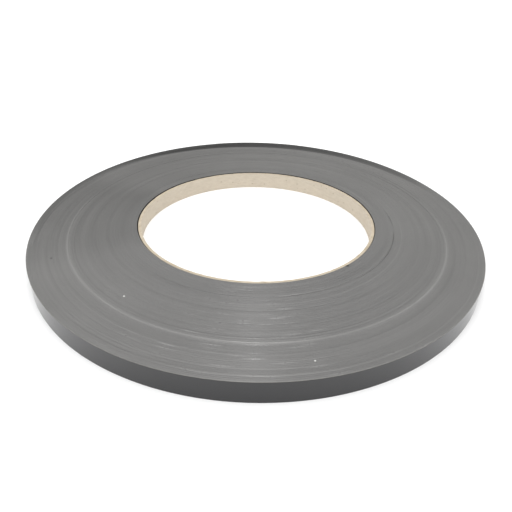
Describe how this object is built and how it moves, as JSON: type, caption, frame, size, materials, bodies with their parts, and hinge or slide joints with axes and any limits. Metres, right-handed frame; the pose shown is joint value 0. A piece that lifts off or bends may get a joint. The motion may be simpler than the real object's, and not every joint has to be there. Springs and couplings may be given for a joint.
{
  "type": "copper foil tape roll",
  "caption": "Wide, thin roll of narrow dark-faced adhesive foil tape wound edge to edge on a board core with an open bore; the tape's free end lifts and its foil peels off the liner.",
  "frame": {"origin": "on the roll's axis, at the level of the face that the roll lies on", "axes": "+Z along the roll's axis, up from the face it lies on; the tape winds outwards anticlockwise seen from +Z, and its free end is on the +Y side"},
  "size_m": [0.148, 0.1481, 0.007],
  "materials": {
    "core_board": "matte",
    "wound_edges": "satin",
    "foil_face": "satin",
    "adhesive": "gloss",
    "release_liner": "matte"
  },
  "bodies": {
    "roll": {"core_inner_ply": "core_board", "core_middle_ply": "core_board", "core_outer_ply": "core_board", "inner_turns": "wound_edges", "middle_turns": "wound_edges", "proud_turns": "wound_edges", "outer_turns": "wound_edges", "raised_turns": "wound_edges", "last_turn_liner": "release_liner", "last_turn_adhesive": "adhesive", "last_turn_foil": "foil_face"},
    "free_end": {"end_liner": "release_liner", "end_adhesive": "adhesive", "end_foil": "foil_face"},
    "foil_flap": {"flap_adhesive": "adhesive", "flap_foil": "foil_face"}
  },
  "joints": [
    {"name": "end_lift", "type": "hinge", "parent": "roll", "child": "free_end", "pos_m": [0.01912, 0.07157, 0.00317], "axis": [0, 0, -1], "range_deg": [0, 75]},
    {"name": "foil_peel", "type": "hinge", "parent": "free_end", "child": "foil_flap", "pos_m": [-0.00064, 0.07408, 0.00317], "axis": [0, 0, -1], "range_deg": [0, 120]}
  ]
}
